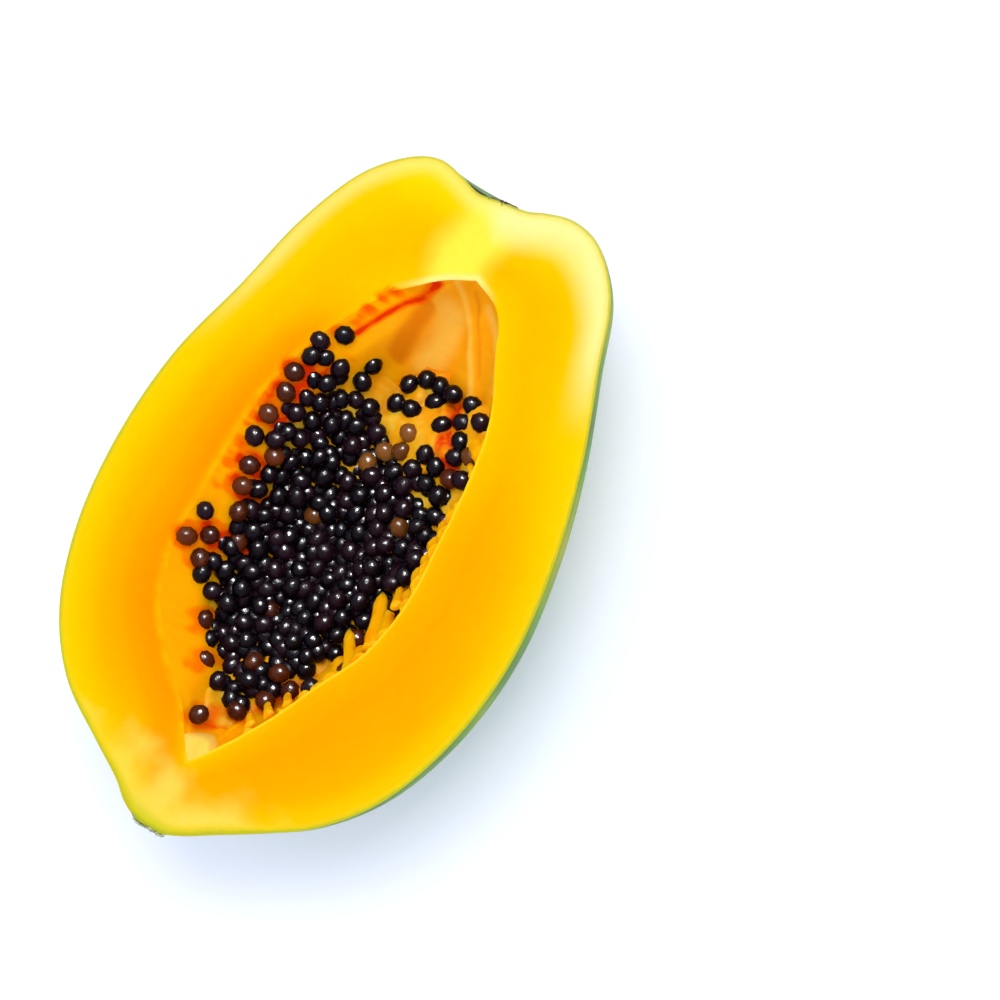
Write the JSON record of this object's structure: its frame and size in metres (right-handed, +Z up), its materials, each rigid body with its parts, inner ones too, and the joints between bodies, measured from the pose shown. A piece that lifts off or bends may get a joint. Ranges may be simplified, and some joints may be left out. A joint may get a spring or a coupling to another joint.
{
  "type": "papaya half",
  "caption": "Half of a ripe papaya, cut lengthwise and lying on its back, with a hollow seed cavity and the pile of round dark seeds that lies in it.",
  "frame": {"origin": "centre of the half's outline seen from above, at the height of the flat spot that it rests on", "axes": "+X towards the stem end, +Y towards the left side seen from the blossom end, +Z up, out of the cut face"},
  "size_m": [0.1814, 0.1188, 0.058],
  "materials": {
    "flesh": "moist cut flesh, yellow to orange",
    "skin": "smooth waxy green peel",
    "pulp": "wet stringy pulp round the seeds",
    "seed": "wet and glossy, near black with some brown"
  },
  "bodies": {
    "root": {"papaya_half": "flesh", "seed_pile": "seed"}
  },
  "joints": []
}
